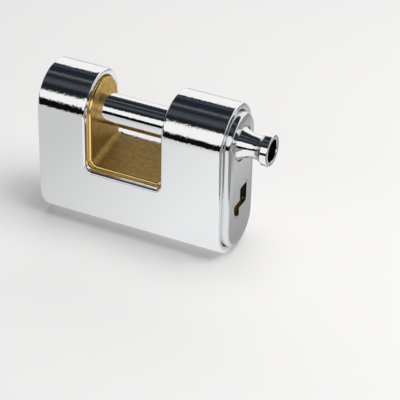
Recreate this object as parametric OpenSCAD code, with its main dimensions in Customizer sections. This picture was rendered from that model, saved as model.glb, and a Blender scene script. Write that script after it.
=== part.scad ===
// Armoured padlock with a sliding cross bolt.
// X runs along the bolt, with the knob at the right. The front faces -Y.
// The origin is the middle of the foot flat, below the middle of the armour.

/* [Armour] */
// Width of the armour left of the gap
left_horn = 20.7; // [16:0.1:28]
// Width of the armour right of the gap
right_horn = 25; // [20:0.1:34]
// Depth of the armour from front to back
body_depth = 29.2; // [24:0.2:36]
// Thickness of the armour's wall
armour_wall = 2.9; // [2.3:0.1:3.2]
// Thickness of the armour's closed end
armour_end = 3; // [2:0.5:5]
// Height of the flat foot cut from the round underside
foot_cut = 0.7; // [0.4:0.1:1.2]

/* [Gap] */
// Width of the gap along the bolt
gap_width = 32.3; // [20:0.1:42]
// Room between the front of the core's floor and the bolt
gap_room = 13.9; // [11:0.1:22]
// Height of the armour's cut above the foot
gap_floor = 27; // [22:0.5:34]
// Radius of the gap's lower corners
gap_corner = 2.7; // [1:0.1:4]
// Slope of the gap's floor, up towards the back, in degrees
floor_slope = 5.5; // [0:0.5:7]

/* [Core and end plate] */
// Space left all round the core in the armour
core_seam = 0.25; // [0.1:0.05:0.4]
// How far the core stands out of the armour's cut in the gap
core_proud = 1.1; // [0.4:0.1:2]
// How far the end plate stands out of the armour
plate_stand = 2.5; // [2.2:0.1:5]
// How deep the end plate sits inside the armour
plate_inset = 1; // [0.6:0.1:2]
// Radius of the end plate's rounded edge
plate_edge = 1.5; // [0.8:0.1:2]

/* [Bolt] */
// Diameter of the bolt
bolt_diameter = 12.6; // [9:0.1:14]
// How far the bolt's axis lies below the middle of the round top
bolt_drop = 0.6; // [0:0.1:1.2]
// Thickness of core left beyond the bolt's tip
tip_cover = 4.5; // [2:0.1:7]
// How far the drawn bolt clears the gap's right side
bolt_clear = 0.5; // [0.2:0.1:1.5]
// Width of the bolt's two locking grooves
groove_width = 4.4; // [4:0.1:5]
// Depth of the locking grooves
groove_depth = 2.2; // [2:0.1:2.8]
// Diameter of the knob's foot
knob_diameter = 13.4; // [12.8:0.1:16]
// Diameter of the knob's narrow waist
waist_diameter = 9.2; // [8.6:0.1:11]
// Distance from the end plate's face to the waist
waist_from_plate = 5.7; // [4.6:0.1:7]
// Diameter of the knob's outer flange
flange_diameter = 12.6; // [12:0.1:16]
// Length of the knob outside the end plate
knob_length = 12.2; // [10.5:0.1:18]
// Diameter of the hollow in the knob's end
hollow_diameter = 9; // [6:0.5:10]
// Straight depth of the hollow
hollow_depth = 3.2; // [2:0.1:3.6]
// Thickness of the seal ring's cord
seal_cord = 1.3; // [1:0.1:1.6]

/* [Cylinder plug] */
// Height of the plug's axis above the foot
plug_height = 23.3; // [21:0.1:25]
// Diameter of the plug
plug_diameter = 13; // [12:0.1:14]
// Diameter of the plug's flange in the end plate
plug_flange = 15.2; // [14.6:0.1:16]

/* [Keyway] */
// Width of the keyway's upper slot
upper_slot = 3.8; // [3:0.1:3.9]
// Width of the keyway's lower slot
lower_slot = 2.6; // [2.4:0.1:3]
// Sideways distance of the upper slot's middle from the plug's axis
upper_slot_side = 2.2; // [1.6:0.1:2.4]
// Sideways distance of the lower slot's middle from the plug's axis
lower_slot_side = 3.7; // [2.8:0.1:4]
// Reach of the upper slot above the plug's axis
keyway_top = 4; // [3.4:0.1:4.4]
// Reach of the lower slot below the plug's axis
keyway_bottom = 6; // [5:0.1:6.4]
// How much wider the keyway's shallow mouth is on each side
mouth_rim = 1.1; // [0.4:0.1:1.2]
// Depth of the keyway's mouth
mouth_depth = 1.3; // [0.6:0.1:1.5]

/* [Locking work] */
// How far the cam lifts the locking pin
pin_lift = 2.1; // [1.6:0.1:2.2]
// Distance from the gap's right side to the locking pin
pin_offset = 4.5; // [4.3:0.1:5]
// Diameter of the locking pin
pin_diameter = 3.2; // [2.8:0.1:3.4]
// Smallest radius of the cam
cam_radius = 4; // [3.8:0.1:4.2]
// Thickness of the cam
cam_thick = 3; // [2:0.1:3.2]

/* [Pin stacks] */
// Lean of the pin stacks from upright
stack_lean = 37; // [30:1:45]
// Distance from the end plate's face to the first stack
stack_first = 6; // [5.6:0.1:6.4]
// Distance between stacks
stack_pitch = 3.1; // [2.9:0.05:3.15]
// Diameter of the key pins and driver pins
stack_diameter = 2.6; // [2.2:0.1:2.65]
// Length of the driver pins
driver_length = 3.2; // [2.4:0.1:4]
// Travel of the key pins and driver pins
stack_travel = 2; // [1.2:0.1:2]

/* [Small fixings] */
// Diameter of the pin that holds the core in the armour
core_pin_diameter = 1.6; // [1.4:0.1:4]
// Distance from the armour's open end to that pin
core_pin_from_end = 6.3; // [4:0.1:12]
// Height of the bolt's axis above that pin
core_pin_below_bolt = 10.7; // [8:0.1:13]
// Diameter of the end plate's dowels
dowel_diameter = 3; // [2:0.1:3.4]
// Diameter of the hardened drill pins
drill_pin_diameter = 2.4; // [1.6:0.1:2.6]

/* [Hidden] */
$fn = 96;
eps = 0.01;
past = 2;

// Clearances
running = 0.06;
fixed = 0.02;
rest_gap = 0.15;
bolt_run = 0.08;

// Armour and core
outer_r = body_depth / 2;
inner_r = outer_r - armour_wall;
core_r = inner_r - core_seam;
low_z = outer_r - foot_cut;
bolt_r = bolt_diameter / 2;
bolt_z = gap_floor + core_proud + gap_room + bolt_r;
high_z = bolt_z + bolt_drop;
body_height = high_z + outer_r;
body_width = left_horn + gap_width + right_horn;
armour_left = -body_width / 2;
armour_right = body_width / 2;
gap_left = armour_left + left_horn;
gap_right = armour_right - right_horn;
core_left = armour_left + armour_end;
plate_back = armour_right - plate_inset;
plate_face = armour_right + plate_stand;
seat_depth = 2;
seat_x = plate_face - seat_depth;

// Bolt
bolt_bore_r = bolt_r + bolt_run;
bolt_tip = core_left + tip_cover;
bolt_travel = gap_right + bolt_clear - bolt_tip;
bolt_chamfer = 1;
groove_r = bolt_r - groove_depth;
groove_flank = 0.5;
pin_x = gap_right + pin_offset;
knob_r = knob_diameter / 2;
knob_seat_r = knob_r + 0.5;
knob_end = plate_face + knob_length;
waist_r = waist_diameter / 2;
waist_x = plate_face + waist_from_plate;
waist_curve = 10;
flange_curve = 5;
flange_r = flange_diameter / 2;
hollow_r = hollow_diameter / 2;
seal_x = plate_back - past;
seal_groove_r = bolt_r - seal_cord - 0.1;
seal_side = 0.15;

// Plug and cam
plug_r = plug_diameter / 2;
plug_bore_r = plug_r + running;
plug_flange_r = plug_flange / 2;
plug_back = pin_x + pin_diameter / 2 + 0.5;
drive_size = 4.2;
drive_r = 2.9;
keyway_end = plug_back + 1.5;
neck_high = -1.4;
neck_low = -2.4;
slot_round = 1;
cam_x = pin_x - cam_thick / 2;
screw_head = 1.1;
screw_head_r = 2.4;
screw_r = 1.2;
screw_length = 4;
plug_bore_end = cam_x - screw_head - 0.3;
plug_pin_r = 1;
plug_pin_x = plate_face - stack_first - 2 * stack_pitch;
plug_groove_depth = 1.1;
plug_groove_r = plug_r - plug_groove_depth;
plug_pin_z = -plug_groove_r - plug_pin_r - running;
plug_pin_reach = 3;
groove_past_pin = 2;
groove_end = plug_pin_reach + groove_past_pin;

// Locking pin
pin_r = pin_diameter / 2;
pin_foot = plug_height + cam_radius + rest_gap;
pin_top = bolt_z - bolt_bore_r - rest_gap;
collar_r = pin_r + 1;
collar_low = plug_height + plug_bore_r + 0.6;
collar_thick = 1.6;
collar_bore_r = collar_r + running;
roof_thick = 2.3;
collar_roof = bolt_z - bolt_bore_r - roof_thick;
bore_plug_low = low_z - core_r + 1;
bore_plug_length = 8;

// Pin stacks, measured up from the plug's axis along the leaning stack
stack_r = stack_diameter / 2;
chamber_r = stack_r + running;
shear_gap = 0.05;
key_pin_deep = 3.8;
key_pin_low = plug_r - key_pin_deep;
driver_low = plug_bore_r + shear_gap;
driver_top = driver_low + driver_length;
cap_top = (core_r - chamber_r * cos(stack_lean)) / sin(stack_lean);
cap_length = 1.4;
cap_low = cap_top - cap_length;
stack_wire = 0.3;
stack_turns = 6;

// Locking spring
spring_wire = 0.45;
spring_turns = 7;

// Fixings
core_pin_x = armour_right - core_pin_from_end;
core_pin_z = bolt_z - core_pin_below_bolt;
core_pin_inner = 6;
dowel_r = dowel_diameter / 2;
dowel_deep = 8;
dowel_in_plate = 2.4;
dowel_high = (plug_height + plug_flange_r + bolt_z - knob_seat_r) / 2;
dowel_low = (plug_height - plug_flange_r + low_z - core_r) / 2;
drill_pin_r = drill_pin_diameter / 2;
drill_pin_angle = 60;
drill_pin_reach = plug_flange_r + drill_pin_r + 0.9;
drill_pin_y = drill_pin_reach * cos(drill_pin_angle);
drill_pin_z = plug_height - drill_pin_reach * sin(drill_pin_angle);
drill_pin_deep = 8;
drill_pin_in_plate = 2;

// Stacks: as many as the plug has room for, up to five
stack_room = plate_face - stack_first - plug_back - chamber_r - 0.2;
stacks = min(5, floor(stack_room / stack_pitch) + 1);

function stack_x(i) = plate_face - stack_first - (i - 1) * stack_pitch;

// The round-ended outline of the body, seen along X
module outline(r) {
    translate([0, low_z]) circle(r);
    translate([0, high_z]) circle(r);
    translate([-r, low_z]) square([2 * r, high_z - low_z]);
}

// Extrudes a Y-Z outline along X
module along_x(from, to) {
    translate([from, 0, 0]) rotate([90, 0, 90]) linear_extrude(to - from) children();
}

// A cylinder along X
module rod_x(from, to, r, z, y = 0) {
    translate([from, y, z]) rotate([0, 90, 0]) cylinder(r = r, h = to - from);
}

// A cylinder along Y
module rod_y(from, to, r, x, z) {
    translate([x, from, z]) rotate([-90, 0, 0]) cylinder(r = r, h = to - from);
}

// Places what is drawn upright at the origin on the leaning line of the stacks
module leaning(x) {
    translate([x, 0, plug_height]) rotate([-stack_lean, 0, 0]) children();
}

// The cut that leaves the two horns, made smaller all round by the inset
module gap_cut(inset) {
    wide = gap_width - 2 * inset;
    tall = body_height - gap_floor - inset + 2 * past;
    translate([gap_left + inset, -core_r, gap_floor + inset])
        rotate([90 + floor_slope, 0, 0])
            translate([0, 0, -body_depth - past])
                linear_extrude(2 * (body_depth + past)) {
                    translate([0, gap_corner]) square([wide, tall - gap_corner]);
                    translate([gap_corner, 0]) square([wide - 2 * gap_corner, gap_corner + eps]);
                    for (x = [gap_corner, wide - gap_corner])
                        translate([x, gap_corner]) circle(gap_corner);
                }
}

// A round wire wound upwards from the origin, with its ends turned down level
module coil(r, wire, turns, tall) {
    sides = 6;
    steps = 16;
    rings = turns * steps;
    rise = tall - wire;
    points = [
        for (i = [0:rings])
            for (j = [0:sides - 1])
                let (a = 360 * i / steps, b = 360 * j / sides, q = r + wire / 2 * cos(b))
                    [q * cos(a), q * sin(a), wire / 2 + rise * i / rings + wire / 2 * sin(b)]
    ];
    walls = [
        for (i = [0:rings - 1])
            for (j = [0:sides - 1])
                let (k = (j + 1) % sides)
                    each [
                        [i * sides + j, (i + 1) * sides + j, (i + 1) * sides + k],
                        [i * sides + j, (i + 1) * sides + k, i * sides + k]
                    ]
    ];
    first = [for (j = [0:sides - 1]) j];
    last = [for (j = [sides - 1:-1:0]) rings * sides + j];
    polyhedron(points, [each walls, first, last]);
}

// Holes that the core and the armour share
module core_pin_hole() {
    rod_y(-outer_r - past, -core_pin_inner, core_pin_diameter / 2 + fixed, core_pin_x, core_pin_z);
}

module armour() {
    color([0.78, 0.8, 0.82])
        difference() {
            along_x(armour_left, armour_right) outline(outer_r);
            along_x(core_left, armour_right + past) outline(inner_r);
            gap_cut(0);
            core_pin_hole();
            translate([armour_left - past, -outer_r, -foot_cut - past])
                cube([body_width + 2 * past, body_depth, foot_cut + past]);
        }
}

module core() {
    color([0.72, 0.56, 0.3])
        difference() {
            along_x(core_left, plate_back) outline(core_r);
            gap_cut(core_proud);
            rod_x(bolt_tip - bolt_chamfer, plate_back + past, bolt_bore_r, bolt_z);
            rod_x(plug_bore_end, plate_back + past, plug_bore_r, plug_height);
            core_pin_hole();
            translate([pin_x, 0, low_z - core_r - past])
                cylinder(r = collar_bore_r, h = collar_roof - low_z + core_r + past);
            translate([pin_x, 0, collar_roof - eps])
                cylinder(r = pin_r + running, h = bolt_z - collar_roof);
            for (i = [1:stacks])
                leaning(stack_x(i))
                    translate([0, 0, plug_r - 1]) cylinder(r = chamber_r, h = cap_top + past - plug_r + 1);
            rod_y(-core_r - past, plug_pin_reach + 0.2, plug_pin_r + fixed, plug_pin_x, plug_height + plug_pin_z);
            for (z = [dowel_high, dowel_low])
                rod_x(plate_back - dowel_deep, plate_back + past, dowel_r + fixed, z);
            for (y = [-drill_pin_y, drill_pin_y])
                rod_x(plate_back - drill_pin_deep, plate_back + past, drill_pin_r + fixed, drill_pin_z, y);
        }
}

// Half of the end plate's section, with the rounded front edge
module plate_half() {
    thick = plate_face - plate_back;
    difference() {
        square([core_r, thick]);
        translate([core_r - plate_edge, thick - plate_edge])
            difference() {
                square(plate_edge + 1);
                circle(plate_edge);
            }
    }
}

module end_plate() {
    color([0.8, 0.81, 0.84])
        difference() {
            union() {
                for (z = [low_z, high_z])
                    translate([plate_back, 0, z]) rotate([0, 90, 0]) rotate_extrude() plate_half();
                translate([plate_back, 0, low_z])
                    linear_extrude(high_z - low_z)
                        rotate(-90) {
                            plate_half();
                            mirror([1, 0]) plate_half();
                        }
            }
            rod_x(plate_back - past, seat_x + eps, bolt_bore_r, bolt_z);
            rod_x(seat_x, plate_face + past, knob_seat_r, bolt_z);
            rod_x(plate_back - past, seat_x + eps, plug_bore_r, plug_height);
            rod_x(seat_x, plate_face + past, plug_flange_r + running, plug_height);
            for (z = [dowel_high, dowel_low])
                rod_x(plate_back - past, plate_back + dowel_in_plate, dowel_r + fixed, z);
            for (y = [-drill_pin_y, drill_pin_y])
                rod_x(plate_back - past, plate_back + drill_pin_in_plate, drill_pin_r + fixed, drill_pin_z, y);
        }
}

// A groove round the bolt, as an outline beside its axis
module bolt_groove(x) {
    half = groove_width / 2;
    polygon([
        [groove_r, x - half + groove_flank],
        [bolt_r + eps, x - half],
        [bolt_r + 1, x - half],
        [bolt_r + 1, x + half],
        [bolt_r + eps, x + half],
        [groove_r, x + half - groove_flank]
    ]);
}

// The knob beside its axis: a foot in the plate's seat, a long waist and a flange
module knob_outline(from) {
    difference() {
        polygon([
            [0, from - eps],
            [knob_r, from - eps],
            [knob_r, waist_x],
            [flange_r, waist_x],
            [flange_r, knob_end],
            [0, knob_end]
        ]);
        intersection() {
            translate([waist_r + waist_curve, waist_x]) circle(waist_curve);
            translate([0, plate_face]) square([knob_r + 1, waist_x - plate_face]);
        }
        intersection() {
            translate([waist_r + flange_curve, waist_x]) circle(flange_curve);
            translate([0, waist_x - eps]) square([flange_r + 1, knob_end - waist_x]);
        }
    }
}

module bolt() {
    collar_x = seat_x + 0.1;
    hollow_floor = knob_end - hollow_depth;
    color([0.8, 0.81, 0.83])
        translate([0, 0, bolt_z])
            rotate([0, 90, 0])
                rotate_extrude()
                    difference() {
                        union() {
                            polygon([
                                [0, bolt_tip],
                                [bolt_r - bolt_chamfer, bolt_tip],
                                [bolt_r, bolt_tip + bolt_chamfer],
                                [bolt_r, collar_x],
                                [0, collar_x]
                            ]);
                            knob_outline(collar_x);
                        }
                        bolt_groove(pin_x);
                        bolt_groove(pin_x - bolt_travel);
                        translate([seal_groove_r, seal_x - seal_cord / 2 - seal_side])
                            square([seal_cord + 1, seal_cord + 2 * seal_side]);
                        polygon([
                            [-1, knob_end + 1],
                            [hollow_r, knob_end + 1],
                            [hollow_r, hollow_floor],
                            [hollow_r * 0.5, hollow_floor - hollow_depth],
                            [-1, hollow_floor - hollow_depth]
                        ]);
                        translate([-10, bolt_tip - 1]) square([10, knob_end - bolt_tip + 2]);
                    }
}

module bolt_seal() {
    color([0.1, 0.1, 0.1])
        translate([seal_x, 0, bolt_z])
            rotate([0, 90, 0])
                rotate_extrude() translate([bolt_r - seal_cord / 2, 0]) circle(seal_cord / 2);
}

// An upright slot with round corners, from its middle, width and lower and upper ends
module keyway_slot(side, wide, low, high) {
    left = side - wide / 2;
    translate([left, low + slot_round]) square([wide, high - low - 2 * slot_round]);
    translate([left + slot_round, low]) square([wide - 2 * slot_round, high - low]);
    for (x = [left + slot_round, left + wide - slot_round])
        for (y = [low + slot_round, high - slot_round])
            translate([x, y]) circle(slot_round, $fn = 32);
}

// The stepped keyway round the plug's axis, widened by the rim and kept inside the reach
module keyway_outline(rim, reach) {
    intersection() {
        circle(reach);
        union() {
            keyway_slot(upper_slot_side, upper_slot + 2 * rim, neck_low - rim, keyway_top + rim);
            keyway_slot(-lower_slot_side, lower_slot + 2 * rim, -keyway_bottom - rim, neck_high + rim);
            translate([-lower_slot_side, neck_low - rim])
                square([upper_slot_side + lower_slot_side, neck_high - neck_low + 2 * rim]);
        }
    }
}

module plug() {
    color([0.76, 0.77, 0.78])
        difference() {
            union() {
                rod_x(plug_back, plate_face - seat_depth / 2, plug_r, plug_height);
                rod_x(seat_x + running, plate_face, plug_flange_r, plug_height);
                intersection() {
                    rod_x(cam_x, plug_back + 1, drive_r, plug_height);
                    translate([cam_x, -drive_size / 2, plug_height - drive_size / 2])
                        cube([plug_back + 1 - cam_x, drive_size, drive_size]);
                }
            }
            translate([0, 0, plug_height]) {
                along_x(keyway_end, plate_face + past) keyway_outline(0, plug_groove_r - 0.4);
                along_x(plate_face - mouth_depth, plate_face + past)
                    keyway_outline(mouth_rim, plug_flange_r - 0.6);
            }
            for (i = [1:stacks])
                leaning(stack_x(i))
                    translate([0, 0, key_pin_low - stack_travel - 0.3])
                        cylinder(r = chamber_r, h = plug_flange_r);
            intersection() {
                difference() {
                    rod_x(plug_pin_x - plug_pin_r - 0.1, plug_pin_x + plug_pin_r + 0.1, plug_r + 1, plug_height);
                    rod_x(plug_pin_x - past, plug_pin_x + past, plug_groove_r, plug_height);
                }
                translate([plug_pin_x - past, -plug_r - past, plug_height - plug_r - past])
                    cube([2 * past, plug_r + past + groove_end, plug_r + past + groove_end]);
            }
            rod_x(cam_x - past, cam_x + screw_length, screw_r, plug_height);
        }
}

// The cam's radius grows evenly as it turns, so that the lift follows the key
module cam() {
    full = cam_radius + pin_lift;
    step = 5;
    function reach(a) = a <= 90 ? full - pin_lift * a / 90 : cam_radius;
    edge = [
        for (a = [-30:step:110]) [reach(max(a, 0)) * cos(a), reach(max(a, 0)) * sin(a)],
        for (a = [120:10:310]) [cam_radius * cos(a), cam_radius * sin(a)]
    ];
    color([0.6, 0.61, 0.63])
        difference() {
            translate([0, 0, plug_height]) along_x(cam_x, cam_x + cam_thick) polygon(edge);
            translate([
                cam_x - past,
                -drive_size / 2 - fixed,
                plug_height - drive_size / 2 - fixed
            ])
                cube([cam_thick + 2 * past, drive_size + 2 * fixed, drive_size + 2 * fixed]);
        }
}

module cam_screw() {
    color([0.55, 0.56, 0.58])
        difference() {
            union() {
                rod_x(cam_x - screw_head, cam_x, screw_head_r, plug_height);
                rod_x(cam_x - eps, cam_x + screw_length - 0.3, screw_r - fixed, plug_height);
            }
            translate([cam_x - screw_head - past, -screw_head_r - past, plug_height - 0.3])
                cube([past + 0.5, 2 * (screw_head_r + past), 0.6]);
        }
}

module plug_pin() {
    color([0.62, 0.63, 0.66])
        rod_y(-core_r + 0.3, plug_pin_reach, plug_pin_r, plug_pin_x, plug_height + plug_pin_z);
}

module locking_pin() {
    color([0.7, 0.71, 0.74])
        translate([pin_x, 0, 0]) {
            translate([0, 0, pin_foot + pin_r]) sphere(pin_r);
            translate([0, 0, pin_foot + pin_r]) cylinder(r = pin_r, h = pin_top - pin_foot - pin_r);
            translate([0, 0, collar_low]) cylinder(r = collar_r, h = collar_thick);
        }
}

module locking_spring() {
    low = collar_low + collar_thick;
    color([0.55, 0.56, 0.6])
        translate([pin_x, 0, low])
            coil(pin_r + running + spring_wire / 2 + 0.08, spring_wire, spring_turns, collar_roof - low);
}

module bore_plug() {
    color([0.74, 0.58, 0.32])
        translate([pin_x, 0, bore_plug_low]) cylinder(r = collar_bore_r - fixed, h = bore_plug_length);
}

module core_pin() {
    color([0.85, 0.86, 0.88])
        intersection() {
            rod_y(-outer_r, -core_pin_inner - 0.1, core_pin_diameter / 2, core_pin_x, core_pin_z);
            along_x(armour_left, armour_right) outline(outer_r);
        }
}

module plate_dowel(z) {
    color([0.62, 0.63, 0.66])
        rod_x(plate_back - dowel_deep + 0.1, plate_back + dowel_in_plate - 0.1, dowel_r, z);
}

module drill_pin(y) {
    color([0.35, 0.36, 0.38])
        rod_x(plate_back - drill_pin_deep + 0.1, plate_back + drill_pin_in_plate - 0.1, drill_pin_r, drill_pin_z, y);
}

module key_pin(i) {
    cone = 0.8;
    color([0.8, 0.66, 0.36])
        leaning(stack_x(i))
            translate([0, 0, key_pin_low])
                rotate_extrude()
                    polygon([
                        [0, 0],
                        [stack_r - cone, 0],
                        [stack_r, cone],
                        [stack_r, plug_r - shear_gap - key_pin_low],
                        [0, plug_r - shear_gap - key_pin_low]
                    ]);
}

module driver_pin(i) {
    color([0.78, 0.79, 0.8])
        leaning(stack_x(i)) translate([0, 0, driver_low]) cylinder(r = stack_r, h = driver_length);
}

module pin_spring(i) {
    color([0.6, 0.61, 0.64])
        leaning(stack_x(i))
            translate([0, 0, driver_top])
                coil(stack_r - stack_wire / 2, stack_wire, stack_turns, cap_low - driver_top);
}

module chamber_cap(i) {
    color([0.74, 0.58, 0.32])
        leaning(stack_x(i)) translate([0, 0, cap_low]) cylinder(r = chamber_r - fixed, h = cap_length);
}

armour();
core();
end_plate();
bolt();
bolt_seal();
plug();
cam();
cam_screw();
plug_pin();
locking_pin();
locking_spring();
bore_plug();
core_pin();
plate_dowel(dowel_high);  // plate_dowel_1
plate_dowel(dowel_low);  // plate_dowel_2
drill_pin(-drill_pin_y);  // drill_pin_1
drill_pin(drill_pin_y);  // drill_pin_2
for (i = [1:stacks]) {
    key_pin(i);
    driver_pin(i);
    pin_spring(i);
    chamber_cap(i);
}
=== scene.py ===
"""Armoured padlock: the look of its sleeve, core, cross bolt and keyed plug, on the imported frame."""

import math

import bmesh
import bpy
from bpy.props import FloatProperty, FloatVectorProperty, IntProperty, PointerProperty
from mathutils import Matrix, Vector


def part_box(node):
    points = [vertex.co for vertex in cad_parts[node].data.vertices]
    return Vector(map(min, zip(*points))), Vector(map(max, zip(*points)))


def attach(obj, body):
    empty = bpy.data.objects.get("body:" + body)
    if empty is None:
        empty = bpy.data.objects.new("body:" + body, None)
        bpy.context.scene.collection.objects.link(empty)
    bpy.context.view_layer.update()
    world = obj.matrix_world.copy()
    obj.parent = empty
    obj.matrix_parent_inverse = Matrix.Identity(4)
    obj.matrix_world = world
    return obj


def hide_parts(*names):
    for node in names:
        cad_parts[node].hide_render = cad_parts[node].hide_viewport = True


bl_info = {
    "name": "Armoured padlock",
    "version": (1, 0, 0),
    "blender": (4, 5, 0),
    "location": "View3D > Sidebar > Padlock",
    "description": "Builds the visible pieces of a sliding-bolt armoured padlock",
    "category": "Add Mesh",
}

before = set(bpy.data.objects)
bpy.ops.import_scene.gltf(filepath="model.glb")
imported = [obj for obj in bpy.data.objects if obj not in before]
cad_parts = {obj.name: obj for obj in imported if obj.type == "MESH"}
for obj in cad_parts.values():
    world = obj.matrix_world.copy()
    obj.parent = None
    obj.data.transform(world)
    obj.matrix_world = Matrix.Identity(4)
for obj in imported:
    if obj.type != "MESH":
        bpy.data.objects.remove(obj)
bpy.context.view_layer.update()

MM = 0.001
# Places closer than this count as one
EPS = 0.02 * MM
# How far a cutter reaches past what it cuts
PAST = 5 * MM
# After a cut, vertices closer than this are joined, and faces that turn by less than this
WELD = 0.002 * MM
FLAT = math.radians(0.5)
# Only edges that turn by more than this are rounded
SHARP = math.radians(40)
# Steps across a small rounded edge, the end plate's edge and a curve of the knob
EDGE_STEPS = 4
PLATE_EDGE_STEPS = 8
KNOB_STEPS = 16
# Radius of the plug's bore in the core and the end plate
PLUG_BORE = 6.56 * MM
ARMOUR_LOW, ARMOUR_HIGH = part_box("armour")
CORE_LOW, CORE_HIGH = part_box("core")
PLATE_LOW, PLATE_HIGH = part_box("end_plate")
BOLT_LOW, BOLT_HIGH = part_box("bolt")
PLUG_LOW, PLUG_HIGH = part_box("plug")
PIN_LOW, PIN_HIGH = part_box("core_pin")
BOLT_Z = (BOLT_LOW.z + BOLT_HIGH.z) / 2
PLUG_Z = (PLUG_LOW.z + PLUG_HIGH.z) / 2
CORE_RADIUS = (CORE_HIGH.y - CORE_LOW.y) / 2

# The stage: the floor's size and middle, the backdrop's colour and the camera's place
FLOOR_SIZE = (1.6, 1.2)
FLOOR_MIDDLE = 0.4
BACKDROP = (0.86, 0.85, 0.85)
CAMERA_PLACE = Vector((257.7 * MM, -509.4 * MM, 391.2 * MM))
# Name, place, target, size and power of each soft lamp
LAMPS = (
    ("lamp_right", (0.6, 0.0, 0.9), (0, 0, 0), 0.7, 6),
    ("lamp_front", (0.1, 0.1, 1.0), (0, 0.1, 0), 0.7, 5),
)


class ArmourSettings(bpy.types.PropertyGroup):
    """Sizes of the armour sleeve and its gap"""

    radius: FloatProperty(
        name="Radius",
        description="Radius of the sleeve's round top and underside",
        default=(ARMOUR_HIGH.y - ARMOUR_LOW.y) / 2,
        unit="LENGTH",
    )
    foot_cut: FloatProperty(
        name="Foot cut",
        description="Height of the flat foot cut from the round underside",
        default=0.7 * MM,
        unit="LENGTH",
    )
    gap_left: FloatProperty(
        name="Gap left", description="Left side of the gap", default=-18.3 * MM, unit="LENGTH"
    )
    gap_right: FloatProperty(
        name="Gap right", description="Right side of the gap", default=14 * MM, unit="LENGTH"
    )
    gap_floor: FloatProperty(
        name="Gap floor", description="Height of the gap's floor", default=27 * MM, unit="LENGTH"
    )
    gap_corner: FloatProperty(
        name="Gap corner",
        description="Radius of the gap's lower corners",
        default=2.7 * MM,
        unit="LENGTH",
    )
    floor_slope: FloatProperty(
        name="Floor slope",
        description="Slope of the gap's floor, up towards the back",
        default=math.radians(5.5),
        unit="ROTATION",
    )
    edge: FloatProperty(
        name="Edge", description="Rounding of the sleeve's edges", default=1.1 * MM, unit="LENGTH"
    )


class CoreSettings(bpy.types.PropertyGroup):
    """Sizes of the brass core"""

    seam: FloatProperty(
        name="Seam", description="Space between the core and the armour", default=0.25 * MM, unit="LENGTH"
    )
    proud: FloatProperty(
        name="Proud",
        description="How far the core stands out of the armour's cut",
        default=1.1 * MM,
        unit="LENGTH",
    )
    edge: FloatProperty(
        name="Edge", description="Rounding of the core's edges in the gap", default=0.8 * MM, unit="LENGTH"
    )
    bore_play: FloatProperty(
        name="Bore play", description="Space round the bolt in its bore", default=0.08 * MM, unit="LENGTH"
    )
    bore_end: FloatProperty(
        name="Bore end", description="Room past the bolt's tip in its bore", default=1 * MM, unit="LENGTH"
    )
    shaft_radius: FloatProperty(
        name="Shaft radius",
        description="Radius of the locking pin's bore up to the bolt",
        default=1.65 * MM,
        unit="LENGTH",
    )
    roof: FloatProperty(
        name="Roof", description="Brass left over the locking pin's collar", default=2.3 * MM, unit="LENGTH"
    )


class PlateSettings(bpy.types.PropertyGroup):
    """Sizes of the end plate"""

    edge: FloatProperty(
        name="Edge", description="Rounding of the plate's front edge", default=1.5 * MM, unit="LENGTH"
    )
    seat_radius: FloatProperty(
        name="Bolt seat radius",
        description="Radius of the seat that the knob's foot sits in",
        default=7.2 * MM,
        unit="LENGTH",
    )
    seat_depth: FloatProperty(
        name="Seat depth", description="Depth of the two seats in the face", default=2 * MM, unit="LENGTH"
    )
    seat_edge: FloatProperty(
        name="Seat edge", description="Rounding of the seats' rims", default=0.15 * MM, unit="LENGTH"
    )
    plug_play: FloatProperty(
        name="Plug play", description="Space round the plug's flange", default=0.06 * MM, unit="LENGTH"
    )


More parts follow.
